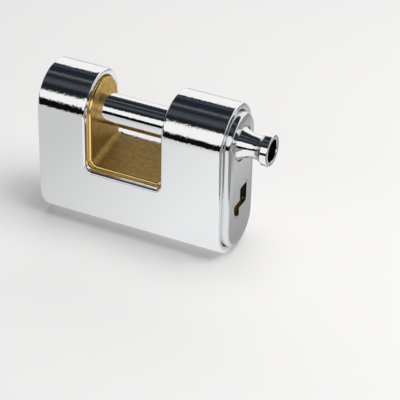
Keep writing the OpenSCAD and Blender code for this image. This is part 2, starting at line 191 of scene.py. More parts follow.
class BoltSettings(bpy.types.PropertyGroup):
    """Sizes of the cross bolt and its knob"""

    radius: FloatProperty(name="Radius", description="Radius of the bolt", default=6.3 * MM, unit="LENGTH")
    chamfer: FloatProperty(
        name="Chamfer", description="Chamfer of the bolt's tip", default=1 * MM, unit="LENGTH"
    )
    tip_play: FloatProperty(
        name="Tip play",
        description="How far the drawn tip stays past the gap's side",
        default=0.5 * MM,
        unit="LENGTH",
    )
    groove_width: FloatProperty(
        name="Groove width", description="Width of the locking grooves", default=4.4 * MM, unit="LENGTH"
    )
    groove_flank: FloatProperty(
        name="Groove flank", description="Slope of a groove's sides", default=0.5 * MM, unit="LENGTH"
    )
    groove_depth: FloatProperty(
        name="Groove depth", description="Depth of the locking grooves", default=2.2 * MM, unit="LENGTH"
    )
    seal_play: FloatProperty(
        name="Seal play", description="Space beside the seal in its groove", default=0.15 * MM, unit="LENGTH"
    )
    seal_room: FloatProperty(
        name="Seal room", description="Space under the seal in its groove", default=0.1 * MM, unit="LENGTH"
    )
    foot_radius: FloatProperty(
        name="Foot radius", description="Radius of the knob's foot", default=6.7 * MM, unit="LENGTH"
    )
    foot_depth: FloatProperty(
        name="Foot depth", description="Depth of the foot in its seat", default=1.9 * MM, unit="LENGTH"
    )
    foot_edge: FloatProperty(
        name="Foot edge", description="Rounding of the foot's edges", default=0.3 * MM, unit="LENGTH"
    )
    waist_radius: FloatProperty(
        name="Waist radius", description="Radius of the knob's waist", default=4.6 * MM, unit="LENGTH"
    )
    waist_distance: FloatProperty(
        name="Waist distance",
        description="From the end plate's face to the waist",
        default=5.7 * MM,
        unit="LENGTH",
    )
    waist_curve: FloatProperty(
        name="Waist curve", description="Radius of the waist's hollow curve", default=10 * MM, unit="LENGTH"
    )
    flange_radius: FloatProperty(
        name="Flange radius", description="Radius of the knob's flange", default=6.3 * MM, unit="LENGTH"
    )
    flange_curve: FloatProperty(
        name="Flange curve", description="Radius of the rise to the flange", default=5 * MM, unit="LENGTH"
    )
    flange_edge: FloatProperty(
        name="Flange edge", description="Rounding of the flange's edge", default=0.5 * MM, unit="LENGTH"
    )
    hollow_edge: FloatProperty(
        name="Hollow edge", description="Rounding of the hollow's rim", default=0.4 * MM, unit="LENGTH"
    )
    hollow_radius: FloatProperty(
        name="Hollow radius", description="Radius of the hollow end", default=4.5 * MM, unit="LENGTH"
    )
    hollow_depth: FloatProperty(
        name="Hollow depth", description="Straight depth of the hollow end", default=3.2 * MM, unit="LENGTH"
    )


class PlugSettings(bpy.types.PropertyGroup):
    """Sizes of the cylinder plug and its keyway"""

    radius: FloatProperty(
        name="Radius", description="Radius of the plug in the core", default=6.5 * MM, unit="LENGTH"
    )
    tail_radius: FloatProperty(
        name="Tail radius", description="Radius of the tail for the cam", default=2.1 * MM, unit="LENGTH"
    )
    back_reach: FloatProperty(
        name="Back reach",
        description="How far the plug's back reaches under the locking pin",
        default=0.5 * MM,
        unit="LENGTH",
    )
    flange_depth: FloatProperty(
        name="Flange depth", description="Thickness of the plug's flange", default=1.94 * MM, unit="LENGTH"
    )
    flange_edge: FloatProperty(
        name="Flange edge", description="Rounding of the flange's edge", default=0.15 * MM, unit="LENGTH"
    )
    slot_reach: FloatProperty(
        name="Slot reach", description="Radius that the keyway stays within", default=5 * MM, unit="LENGTH"
    )
    slot_stop: FloatProperty(
        name="Slot stop", description="Metal left behind the keyway", default=1.5 * MM, unit="LENGTH"
    )
    slot_round: FloatProperty(
        name="Slot round", description="Radius of the slots' corners", default=1 * MM, unit="LENGTH"
    )
    upper_slot: FloatProperty(
        name="Upper slot", description="Width of the keyway's upper slot", default=3.8 * MM, unit="LENGTH"
    )
    lower_slot: FloatProperty(
        name="Lower slot", description="Width of the keyway's lower slot", default=2.6 * MM, unit="LENGTH"
    )
    upper_side: FloatProperty(
        name="Upper side",
        description="Distance of the upper slot from the axis",
        default=2.2 * MM,
        unit="LENGTH",
    )
    lower_side: FloatProperty(
        name="Lower side",
        description="Distance of the lower slot from the axis",
        default=3.7 * MM,
        unit="LENGTH",
    )
    reach_up: FloatProperty(
        name="Reach up", description="Reach of the keyway above the axis", default=4 * MM, unit="LENGTH"
    )
    reach_down: FloatProperty(
        name="Reach down", description="Reach of the keyway below the axis", default=6 * MM, unit="LENGTH"
    )
    neck_high: FloatProperty(
        name="Neck top", description="Depth of the neck's top below the axis", default=1.4 * MM, unit="LENGTH"
    )
    neck_low: FloatProperty(
        name="Neck bottom",
        description="Depth of the neck's bottom below the axis",
        default=2.4 * MM,
        unit="LENGTH",
    )
    mouth_rim: FloatProperty(
        name="Mouth rim", description="Extra width of the keyway's mouth", default=1.1 * MM, unit="LENGTH"
    )
    mouth_depth: FloatProperty(
        name="Mouth depth", description="Depth of the keyway's mouth", default=1.3 * MM, unit="LENGTH"
    )
    mouth_land: FloatProperty(
        name="Mouth land", description="Flange left outside the mouth", default=0.6 * MM, unit="LENGTH"
    )


class FinishSettings(bpy.types.PropertyGroup):
    """Colours of the finishes"""

    plating: FloatVectorProperty(
        name="Plating", description="Colour of the chrome plate", default=(0.88, 0.89, 0.9), subtype="COLOR"
    )
    brass: FloatVectorProperty(
        name="Brass", description="Colour of the core's brass", default=(0.92, 0.62, 0.2), subtype="COLOR"
    )
    facets: IntProperty(
        name="Steps in a round", description="Edges in a full circle", default=128, min=24, max=256
    )


class StageSettings(bpy.types.PropertyGroup):
    """The floor's colour and the camera's view"""

    floor_colour: FloatVectorProperty(
        name="Floor", description="Colour of the floor", default=(0.83, 0.82, 0.81), subtype="COLOR"
    )
    azimuth: FloatProperty(
        name="Azimuth",
        description="Turn of the camera to the right",
        default=math.radians(24.612),
        unit="ROTATION",
    )
    elevation: FloatProperty(
        name="Elevation",
        description="Angle of the camera's view down to the lock",
        default=math.radians(33.704),
        unit="ROTATION",
    )
    roll: FloatProperty(
        name="Roll", description="Roll of the camera", default=math.radians(1.352), unit="ROTATION"
    )
    lens: FloatProperty(name="Lens", description="Focal length in millimetres", default=155.93)


SETTINGS = {
    "padlock_armour": ArmourSettings,
    "padlock_core": CoreSettings,
    "padlock_plate": PlateSettings,
    "padlock_bolt": BoltSettings,
    "padlock_plug": PlugSettings,
    "padlock_finish": FinishSettings,
    "padlock_stage": StageSettings,
}


def new_material(name):
    """A new material, its Principled shader, and its nodes and links."""
    material = bpy.data.materials.new(name)
    material.use_nodes = True
    shader = material.node_tree.nodes["Principled BSDF"]
    return material, shader, material.node_tree.nodes, material.node_tree.links


def fill_ramp(ramp, stops):
    """Sets the stops of a colour ramp, from pairs of a position and a colour."""
    elements = ramp.color_ramp.elements
    while len(elements) < len(stops):
        elements.new(0.5)
    for element, (position, colour) in zip(elements, stops):
        element.position = position
        element.color = (*colour, 1)


def eased(nodes, links, value, low, high):
    """A value that eases from 0 at the low place to 1 at the high one."""
    step = nodes.new("ShaderNodeMapRange")
    step.interpolation_type = "SMOOTHSTEP"
    step.inputs["From Min"].default_value = low
    step.inputs["From Max"].default_value = high
    links.new(value, step.inputs["Value"])
    return step


def add_grain(nodes, links, shader, scale, height, detail=2.0):
    """A fine uneven surface, from noise on the object's own coordinates. Returns those."""
    coords = nodes.new("ShaderNodeTexCoord").outputs["Object"]
    noise = nodes.new("ShaderNodeTexNoise")
    noise.inputs["Scale"].default_value = scale
    noise.inputs["Detail"].default_value = detail
    bump = nodes.new("ShaderNodeBump")
    bump.inputs["Distance"].default_value = height
    bump.inputs["Strength"].default_value = 1.0
    links.new(coords, noise.inputs["Vector"])
    links.new(noise.outputs["Fac"], bump.inputs["Height"])
    links.new(bump.outputs["Normal"], shader.inputs["Normal"])
    return coords


def plated(name, colour, roughness, ripple):
    """Bright plate over metal, with the faint ripple of plating."""
    material, shader, nodes, links = new_material(name)
    shader.inputs["Base Color"].default_value = (*colour, 1)
    shader.inputs["Metallic"].default_value = 1.0
    shader.inputs["Roughness"].default_value = roughness
    add_grain(nodes, links, shader, scale=1100.0, height=ripple)
    return material


def satin_brass(name, colour):
    """Machined brass: mottled, with painted shade that darkens it low in the gap, and a painted highlight
    along its front edge.
    """
    material, shader, nodes, links = new_material(name)
    shader.inputs["Metallic"].default_value = 1.0
    coords = add_grain(nodes, links, shader, scale=1400.0, height=0.02 * MM, detail=4.0)
    split = nodes.new("ShaderNodeSeparateXYZ")
    links.new(coords, split.inputs["Vector"])

    blotch = nodes.new("ShaderNodeTexNoise")
    blotch.inputs["Scale"].default_value = 550.0
    blotch.inputs["Detail"].default_value = 5.0
    mottle = nodes.new("ShaderNodeValToRGB")
    darker, lighter = 0.78, 1.08
    fill_ramp(mottle, [(0.35, [c * darker for c in colour]), (0.7, [c * lighter for c in colour])])
    links.new(coords, blotch.inputs["Vector"])
    links.new(blotch.outputs["Fac"], mottle.inputs["Fac"])

    # Painted shade: the brass colour is made darker low in the gap, down to 0.6 at the bottom
    gap_low, gap_high = 30 * MM, 58 * MM
    height = eased(nodes, links, split.outputs["Z"], gap_low, gap_high)
    height.inputs["To Min"].default_value = 0.6
    painted_gap_shade = nodes.new("ShaderNodeMixRGB")
    painted_gap_shade.blend_type = "MULTIPLY"
    painted_gap_shade.inputs["Fac"].default_value = 1.0
    links.new(mottle.outputs["Color"], painted_gap_shade.inputs["Color1"])
    links.new(height.outputs["Result"], painted_gap_shade.inputs["Color2"])

    # The painted edge highlight: far out from the line through the round top's centre, and in front
    above = nodes.new("ShaderNodeMath")
    above.operation = "SUBTRACT"
    above.use_clamp = True
    above.inputs[1].default_value = CORE_HIGH.z - CORE_RADIUS
    outward = nodes.new("ShaderNodeCombineXYZ")
    reach = nodes.new("ShaderNodeVectorMath")
    reach.operation = "LENGTH"
    links.new(split.outputs["Z"], above.inputs[0])
    links.new(split.outputs["Y"], outward.inputs["Y"])
    links.new(above.outputs["Value"], outward.inputs["Z"])
    links.new(outward.outputs["Vector"], reach.inputs[0])
    rim = eased(nodes, links, reach.outputs["Value"], CORE_RADIUS - 0.8 * MM, CORE_RADIUS - 0.6 * MM)
    ahead = nodes.new("ShaderNodeMapRange")
    ahead.inputs["From Min"].default_value = -1 * MM
    ahead.inputs["From Max"].default_value = -5 * MM
    links.new(split.outputs["Y"], ahead.inputs["Value"])
    front = nodes.new("ShaderNodeMath")
    front.operation = "MULTIPLY"
    links.new(rim.outputs["Result"], front.inputs[0])
    links.new(ahead.outputs["Result"], front.inputs[1])
    # Painted highlight: the front edge's colour is made bright yellow, with lower roughness there as well
    painted_edge_highlight = nodes.new("ShaderNodeMixRGB")
    painted_edge_highlight.inputs["Color2"].default_value = (1.0, 0.74, 0.3, 1)
    links.new(front.outputs["Value"], painted_edge_highlight.inputs["Fac"])
    links.new(painted_gap_shade.outputs["Color"], painted_edge_highlight.inputs["Color1"])
    links.new(painted_edge_highlight.outputs["Color"], shader.inputs["Base Color"])
    polish = nodes.new("ShaderNodeMapRange")
    polish.inputs["To Min"].default_value = 0.55
    polish.inputs["To Max"].default_value = 0.2
    links.new(front.outputs["Value"], polish.inputs["Value"])
    links.new(polish.outputs["Result"], shader.inputs["Roughness"])
    return material


def turned_steel(name, colour, roughness):
    """Plain metal for the small inner pieces."""
    material, shader, nodes, links = new_material(name)
    shader.inputs["Base Color"].default_value = (*colour, 1)
    shader.inputs["Metallic"].default_value = 1.0
    shader.inputs["Roughness"].default_value = roughness
    return material


def rubber(name):
    """Matt black rubber."""
    material, shader, nodes, links = new_material(name)
    shader.inputs["Base Color"].default_value = (0.02, 0.02, 0.02, 1)
    shader.inputs["Roughness"].default_value = 0.6
    return material


def material_of(look):
    """A finish by its plain name, made once."""
    finish = bpy.context.scene.padlock_finish
    name = "padlock_" + look
    found = bpy.data.materials.get(name)
    if found:
        return found
    makers = {
        "armour_plate": lambda: plated(name, finish.plating, 0.05, 0.035 * MM),
        "bolt_plate": lambda: plated(name, finish.plating, 0.05, 0.02 * MM),
        "face_plate": lambda: plated(name, [c * 0.88 for c in finish.plating], 0.1, 0.01 * MM),
        "core_brass": lambda: satin_brass(name, finish.brass),
        # Painted light in the keyway: brass darkened to 0.35 as painted shade, near black as painted shadow,
        # and grey as painted light on ledges that face out
        "keyway_brass_painted_shade": lambda: turned_steel(name, [c * 0.35 for c in finish.brass], 0.4),
        "keyway_painted_shadow": lambda: turned_steel(name, (0.05, 0.055, 0.045), 0.35),
        "keyway_painted_lit_ledge": lambda: turned_steel(name, (0.3, 0.31, 0.29), 0.35),
        "inner_brass": lambda: turned_steel(name, finish.brass, 0.35),
        "inner_steel": lambda: turned_steel(name, (0.5, 0.51, 0.53), 0.3),
        "hard_steel": lambda: turned_steel(name, (0.2, 0.2, 0.22), 0.35),
        # Painted shade: the knob's hollow inside is near-black brown, as painted shade with a painted
        # brownish reflection
        "hollow_painted_shade": lambda: turned_steel(name, (0.09, 0.07, 0.05), 0.3),
        "pin_steel": lambda: turned_steel(name, (0.95, 0.95, 0.95), 0.25),
        "seal_rubber": lambda: rubber(name),
    }
    return makers[look]()


def mesh_object(name, bm, *materials):
    """A new object at the origin with the bmesh's shape."""
    bmesh.ops.remove_doubles(bm, verts=bm.verts, dist=1e-7)
    bmesh.ops.recalc_face_normals(bm, faces=bm.faces)
    mesh = bpy.data.meshes.new(name)
    bm.to_mesh(mesh)
    bm.free()
    obj = bpy.data.objects.new(name, mesh)
    bpy.context.scene.collection.objects.link(obj)
    for material in materials:
        mesh.materials.append(material_of(material))
    return obj


def boolean(obj, operation, *others):
    """Joins, cuts or keeps the shared part of the object and the others, and removes the others."""
    for other in others:
        step = obj.modifiers.new("step", "BOOLEAN")
        step.operation = operation
        step.solver = "EXACT"
        step.object = other
    depsgraph = bpy.context.evaluated_depsgraph_get()
    carved = bpy.data.meshes.new_from_object(obj.evaluated_get(depsgraph))
    obj.modifiers.clear()
    old = obj.data
    obj.data = carved
    bpy.data.meshes.remove(old)
    carved.name = obj.name
    for other in others:
        bpy.data.objects.remove(other)


def carve(obj, *cutters):
    """Cuts the cutters out of the object and tidies its mesh."""
    boolean(obj, "DIFFERENCE", *cutters)
    bm = bmesh.new()
    bm.from_mesh(obj.data)
    bmesh.ops.remove_doubles(bm, verts=bm.verts, dist=WELD)
    bmesh.ops.dissolve_degenerate(bm, edges=bm.edges, dist=WELD)
    bmesh.ops.dissolve_limit(bm, angle_limit=FLAT, verts=bm.verts, edges=bm.edges)
    bm.to_mesh(obj.data)
    bm.free()


def round_edges(obj, width, segments, chosen):
    """Rounds the sharp edges whose middles are chosen, and shades the rest smooth."""
    bm = bmesh.new()
    bm.from_mesh(obj.data)
    weight = bm.edges.layers.float.new("bevel_weight_edge")
    for edge in bm.edges:
        middle = (edge.verts[0].co + edge.verts[1].co) / 2
        if len(edge.link_faces) == 2 and edge.calc_face_angle() > SHARP:
            edge[weight] = 1.0 if chosen(middle) else 0.0
            edge.smooth = chosen(middle)
    bm.to_mesh(obj.data)
    bm.free()
    for face in obj.data.polygons:
        face.use_smooth = True
    bevel = obj.modifiers.new("edges", "BEVEL")
    bevel.width = width
    bevel.segments = segments
    bevel.limit_method = "WEIGHT"
    bevel.harden_normals = True
    bevel.miter_outer = "MITER_ARC"


def smooth_by_angle(obj, degrees=30):
    """Shades smooth, and keeps the corners past the angle sharp."""
    obj.data.shade_smooth()
    obj.data.set_sharp_from_angle(angle=math.radians(degrees))


def place(obj, body, slot, *replaced):
    """Tells the frame which body the piece rides on, and what it stands for by hiding the parts it replaces;
    the slot for its finish is not used.
    """
    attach(obj, body)
    if replaced:
        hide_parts(*replaced)


def arc_points(centre, radius, start, end, steps):
    """Points on an arc in a plane, from one angle to another in degrees."""
    points = []
    for i in range(steps + 1):
        a = math.radians(start + (end - start) * i / steps)
        points.append((centre[0] + radius * math.cos(a), centre[1] + radius * math.sin(a)))
    return points


def rounded_outline(radius, low_z, high_z, steps):
    """The round-ended outline of the body in Y and Z."""
    half = steps // 2
    return arc_points((0, high_z), radius, 0, 180, half) + arc_points((0, low_z), radius, 180, 360, half)


def extruded_x(outline, start, end):
    """A bmesh solid: a Y-Z outline extruded along X."""
    bm = bmesh.new()
    verts = [bm.verts.new((start, y, z)) for y, z in outline]
    face = bm.faces.new(verts)
    grown = bmesh.ops.extrude_face_region(bm, geom=[face])
    moved = [v for v in grown["geom"] if isinstance(v, bmesh.types.BMVert)]
    bmesh.ops.translate(bm, verts=moved, vec=(end - start, 0, 0))
    bmesh.ops.recalc_face_normals(bm, faces=bm.faces)
    return bm


def gap_cutter(settings, inset, steps):
    """The solid that opens the gap, with its rounded lower corners, made smaller all round by the inset."""
    left, right = settings.gap_left + inset, settings.gap_right - inset
    floor, r = settings.gap_floor + inset, settings.gap_corner
    top = ARMOUR_HIGH.z + PAST
    quarter = steps // 8
    outline = [(left, top)]
    outline += arc_points((left + r, floor + r), r, 180, 270, quarter)
    outline += arc_points((right - r, floor + r), r, 270, 360, quarter)
    outline.append((right, top))
    bm = bmesh.new()
    reach = settings.radius + 2 * PAST
    face = bm.faces.new([bm.verts.new((x, -reach, z)) for x, z in outline])
    grown = bmesh.ops.extrude_face_region(bm, geom=[face])
    moved = [v for v in grown["geom"] if isinstance(v, bmesh.types.BMVert)]
    bmesh.ops.translate(bm, verts=moved, vec=(0, 2 * reach, 0))
    slope = Matrix.Rotation(settings.floor_slope, 3, "X")
    bmesh.ops.rotate(bm, verts=bm.verts, cent=(0, CORE_LOW.y, floor), matrix=slope)
    return mesh_object("gap_cutter", bm)


def bar_cutter(middle, turn, length, radius, steps):
    """A round bar along Z, turned and then moved to its middle."""
    bm = bmesh.new()
    bmesh.ops.create_cone(
        bm,
        cap_ends=True,
        segments=steps,
        radius1=radius,
        radius2=radius,
        depth=length,
        matrix=Matrix.Translation(middle) @ turn,
    )
    return mesh_object("bar_cutter", bm)


def rod_cutter(start, end, radius, z, steps):
    """A round bar along X, at a height."""
    turn = Matrix.Rotation(math.pi / 2, 4, "Y")
    return bar_cutter(((start + end) / 2, 0, z), turn, end - start, radius, steps)


def rod_z_cutter(x, low, high, radius, steps):
    """A round bar along Z."""
    return bar_cutter((x, 0, (low + high) / 2), Matrix.Identity(4), high - low, radius, steps)


def pin_cutter(steps):
    """The hole of the retaining pin, along Y."""
    length = 20 * MM
    radius = (PIN_HIGH.x - PIN_LOW.x) / 2 + EPS
    middle = ((PIN_LOW.x + PIN_HIGH.x) / 2, PIN_LOW.y, (PIN_LOW.z + PIN_HIGH.z) / 2)
    return bar_cutter(middle, Matrix.Rotation(math.pi / 2, 4, "X"), length, radius, steps)


def near_pin(point):
    """Whether a point lies by the retaining pin's hole."""
    middle = (PIN_LOW + PIN_HIGH) / 2
    return math.hypot(point.x - middle.x, point.z - middle.z) < PIN_HIGH.x - PIN_LOW.x and point.y < 0


def foot_cutter():
    """A block under the lock, which leaves a flat at height 0."""
    length, width, depth = 200 * MM, 100 * MM, 10 * MM
    bm = bmesh.new()
    below = Matrix.Translation((0, 0, -depth / 2))
    bmesh.ops.create_cube(bm, size=1, matrix=below @ Matrix.Diagonal((length, width, depth, 1)))
    return mesh_object("foot_cutter", bm)


def body_heights(armour):
    """Heights of the centres of the body's round underside and top."""
    return armour.radius - armour.foot_cut, ARMOUR_HIGH.z - armour.radius


def turned_x(profile, z, steps):
    """A bmesh turned about a line along X: the profile holds (along, radius) points."""
    bm = bmesh.new()
    verts = [bm.verts.new((x, 0, z + r)) for x, r in profile]
    edges = [bm.edges.new(pair) for pair in zip(verts, verts[1:])]
    bmesh.ops.spin(
        bm,
        geom=verts + edges,
        cent=(0, 0, z),
        axis=(1, 0, 0),
        angle=2 * math.pi,
        steps=steps,
        use_merge=True,
        use_duplicate=False,
    )
    return bm


class PADLOCK_OT_armour(bpy.types.Operator):
    """Build the plated armour sleeve with its gap"""

    bl_idname = "padlock.armour"
    bl_label = "Armour"

    def execute(self, context):
        armour = context.scene.padlock_armour
        core = context.scene.padlock_core
        steps = context.scene.padlock_finish.facets
        low_z, high_z = body_heights(armour)
        outer = rounded_outline(armour.radius, low_z, high_z, steps)
        inner = rounded_outline(CORE_RADIUS + core.seam, low_z, high_z, steps)
        sleeve = mesh_object("armour_sleeve", extruded_x(outer, ARMOUR_LOW.x, ARMOUR_HIGH.x), "armour_plate")
        hollow = mesh_object("hollow", extruded_x(inner, CORE_LOW.x, ARMOUR_HIGH.x + PAST))
        carve(sleeve, hollow, gap_cutter(armour, 0, steps), foot_cutter(), pin_cutter(steps // 4))
        round_edges(sleeve, armour.edge, EDGE_STEPS, lambda p: not near_pin(p))
        place(sleeve, "lock_body", "armour_plating", "armour")
        return {"FINISHED"}


class PADLOCK_OT_core(bpy.types.Operator):
    """Build the brass core that shows in the gap"""

    bl_idname = "padlock.core"
    bl_label = "Core"

    def execute(self, context):
        armour = context.scene.padlock_armour
        core = context.scene.padlock_core
        bolt = context.scene.padlock_bolt
        steps = context.scene.padlock_finish.facets
        low_z, high_z = body_heights(armour)
        outline = rounded_outline(CORE_RADIUS, low_z, high_z, steps)
        block = mesh_object("brass_core", extruded_x(outline, CORE_LOW.x, CORE_HIGH.x), "core_brass")
        bore_r = bolt.radius + core.bore_play
        bore = rod_cutter(BOLT_LOW.x - core.bore_end, CORE_HIGH.x + PAST, bore_r, BOLT_Z, steps)
        plug = rod_cutter(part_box("cam_screw")[0].x, CORE_HIGH.x + PAST, PLUG_BORE, PLUG_Z, steps)
        pin = pin_cutter(steps // 4)
        latch_low, latch_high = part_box("locking_pin")
        latch_x = (latch_low.x + latch_high.x) / 2
        collar_r = (latch_high.x - latch_low.x) / 2 + core.bore_play
        collar = rod_z_cutter(latch_x, PLUG_Z, BOLT_Z - bore_r - core.roof, collar_r, steps // 2)
        shaft = rod_z_cutter(latch_x, PLUG_Z, BOLT_Z, core.shaft_radius, steps // 2)
        carve(block, gap_cutter(armour, core.proud, steps), bore, plug, pin, collar, shaft)

        def outside(point):
            away = math.hypot(point.y, point.z - BOLT_Z) > bore_r + EPS
            return away and not near_pin(point) and armour.gap_left < point.x < armour.gap_right

        round_edges(block, core.edge, EDGE_STEPS, outside)
        place(block, "lock_body", "core_brass", "core")
        return {"FINISHED"}


class PADLOCK_OT_end_plate(bpy.types.Operator):
    """Build the rounded plate that closes the right end"""

    bl_idname = "padlock.end_plate"
    bl_label = "End plate"

    def execute(self, context):
        armour = context.scene.padlock_armour
        core = context.scene.padlock_core
        plate = context.scene.padlock_plate
        bolt = context.scene.padlock_bolt
        steps = context.scene.padlock_finish.facets
        low_z, high_z = body_heights(armour)
        radius = (PLATE_HIGH.y - PLATE_LOW.y) / 2
        bm = extruded_x(rounded_outline(radius, low_z, high_z, steps), PLATE_LOW.x, PLATE_HIGH.x)
        front = [e for e in bm.edges if all(v.co.x > PLATE_HIGH.x - EPS for v in e.verts)]
        bmesh.ops.bevel(
            bm,
            geom=front,
            offset=plate.edge,
            segments=PLATE_EDGE_STEPS,
            profile=0.5,
            affect="EDGES",
            material=-1,
        )
        body = mesh_object("end_plate_face", bm, "face_plate")
        seat = PLATE_HIGH.x - plate.seat_depth
        flange_r = (PLUG_HIGH.z - PLUG_LOW.z) / 2 + plate.plug_play
        carve(
            body,
            rod_cutter(seat, PLATE_HIGH.x + PAST, plate.seat_radius, BOLT_Z, steps),
            rod_cutter(PLATE_LOW.x - PAST, PLATE_HIGH.x, bolt.radius + core.bore_play, BOLT_Z, steps),
            rod_cutter(seat, PLATE_HIGH.x + PAST, flange_r, PLUG_Z, steps),
            rod_cutter(PLATE_LOW.x - PAST, PLATE_HIGH.x, PLUG_BORE, PLUG_Z, steps),
        )
        round_edges(body, plate.seat_edge, 2, lambda p: p.x > PLATE_HIGH.x - EPS)
        place(body, "lock_body", "end_plate_plating", "end_plate")
        return {"FINISHED"}


def groove_points(bolt, centre):
    """The outline of a locking groove, as (along, radius) points."""
    half = bolt.groove_width / 2
    flank = bolt.groove_flank
    low = bolt.radius - bolt.groove_depth
    return [
        (centre - half, bolt.radius),
        (centre - half + flank, low),
        (centre + half - flank, low),
        (centre + half, bolt.radius),
    ]


def corner(x, r, size, toward, steps=4):
    """A rounded corner of a turned profile: toward says which way the corner faces."""
    start, end = {"left_out": (180, 90), "right_out": (90, 0), "right_in": (0, -90)}[toward]
    cx = x + size if toward == "left_out" else x - size
    cr = r + size if toward == "right_in" else r - size
    return arc_points((cx, cr), size, start, end, steps)


class PADLOCK_OT_bolt(bpy.types.Operator):
    """Turn the cross bolt with its grooves and its waisted, hollow knob"""

    bl_idname = "padlock.bolt"
    bl_label = "Cross bolt"

    def execute(self, context):
        bolt = context.scene.padlock_bolt
        armour = context.scene.padlock_armour
        steps = context.scene.padlock_finish.facets
        tip, end = BOLT_LOW.x, BOLT_HIGH.x
        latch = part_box("locking_pin")
        latch_x = (latch[0].x + latch[1].x) / 2
        travel = armour.gap_right + bolt.tip_play - tip
        ring_low, ring_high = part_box("bolt_seal")
        ring_floor = (ring_high.z - ring_low.z) / 2 - (ring_high.x - ring_low.x) - bolt.seal_room
        side = bolt.seal_play
        foot = PLATE_HIGH.x - bolt.foot_depth
        waist = PLATE_HIGH.x + bolt.waist_distance
        foot_turn = 270 - math.degrees(math.asin(bolt.waist_distance / bolt.waist_curve))
        rise = bolt.flange_radius - bolt.waist_radius
        flange_turn = 270 + math.degrees(math.acos(1 - rise / bolt.flange_curve))
        profile = [(tip, 0.0), (tip, bolt.radius - bolt.chamfer), (tip + bolt.chamfer, bolt.radius)]
        profile += groove_points(bolt, latch_x - travel)
        profile += groove_points(bolt, latch_x)
        profile += [
            (ring_low.x - side, bolt.radius),
            (ring_low.x - side, ring_floor),
            (ring_high.x + side, ring_floor),
            (ring_high.x + side, bolt.radius),
            (foot, bolt.radius),
        ]
        profile += corner(foot, bolt.foot_radius, bolt.foot_edge, "left_out")
        profile += corner(PLATE_HIGH.x, bolt.foot_radius, bolt.foot_edge, "right_out")
        curves = ((bolt.waist_curve, foot_turn, 270), (bolt.flange_curve, 270, flange_turn))
        for radius, start, stop in curves:
            centre = (waist, bolt.waist_radius + radius)
            profile += arc_points(centre, radius, start, stop, KNOB_STEPS)
        profile += corner(end, bolt.flange_radius, bolt.flange_edge, "right_out", 6)
        profile += corner(end, bolt.hollow_radius, bolt.hollow_edge, "right_in", 5)[1:]
        floor = end - bolt.hollow_depth
        profile += [(floor, bolt.hollow_radius), (floor - bolt.hollow_depth, bolt.hollow_radius / 2)]
        profile += [(floor - bolt.hollow_depth, 0.0)]
        bm = turned_x(profile, BOLT_Z, steps)
        rod = mesh_object("cross_bolt_bar", bm, "bolt_plate", "hollow_painted_shade")
        # Painted shade: the faces inside the hollow get the near-black brown finish
        hollow = [p for p in rod.data.polygons if p.center.x > floor - bolt.hollow_depth - EPS]
        for p in hollow:
            out = math.hypot(p.center.y, p.center.z - BOLT_Z)
            if out < bolt.hollow_radius + EPS and p.center.x < end - bolt.hollow_edge:
                p.material_index = 1
        smooth_by_angle(rod, degrees=35)
        place(rod, "cross_bolt", "bolt_plating", "bolt")
        return {"FINISHED"}


def slot_outline(side, width, low, high, r, steps=8):
    """An upright slot with round corners, in Y and Z."""
    left, right = side - width / 2, side + width / 2
    return (
        arc_points((right - r, high - r), r, 0, 90, steps)
        + arc_points((left + r, high - r), r, 90, 180, steps)
        + arc_points((left + r, low + r), r, 180, 270, steps)
        + arc_points((right - r, low + r), r, 270, 360, steps)
    )


def keyway_cutter(plug, rim, reach, start, end, steps):
    """The stepped keyway as a solid along X, widened by the rim and kept inside the reach."""
    upper, lower = plug.upper_side, -plug.lower_side
    low, high = -plug.neck_low - rim, -plug.neck_high + rim
    outlines = [
        slot_outline(upper, plug.upper_slot + 2 * rim, low, plug.reach_up + rim, plug.slot_round),
        slot_outline(lower, plug.lower_slot + 2 * rim, -plug.reach_down - rim, high, plug.slot_round),
        [(lower, low), (upper, low), (upper, high), (lower, high)],
    ]
    parts = [mesh_object("keyway_part", extruded_x(outline, start, end)) for outline in outlines]
    for part in parts:
        part.data.transform(Matrix.Translation((0, 0, PLUG_Z)))
    round_bar = rod_cutter(start, end, reach, PLUG_Z, steps)
    cutter = parts[0]
    for operation, other in (("UNION", parts[1]), ("UNION", parts[2]), ("INTERSECT", round_bar)):
        boolean(cutter, operation, other)
    return cutter


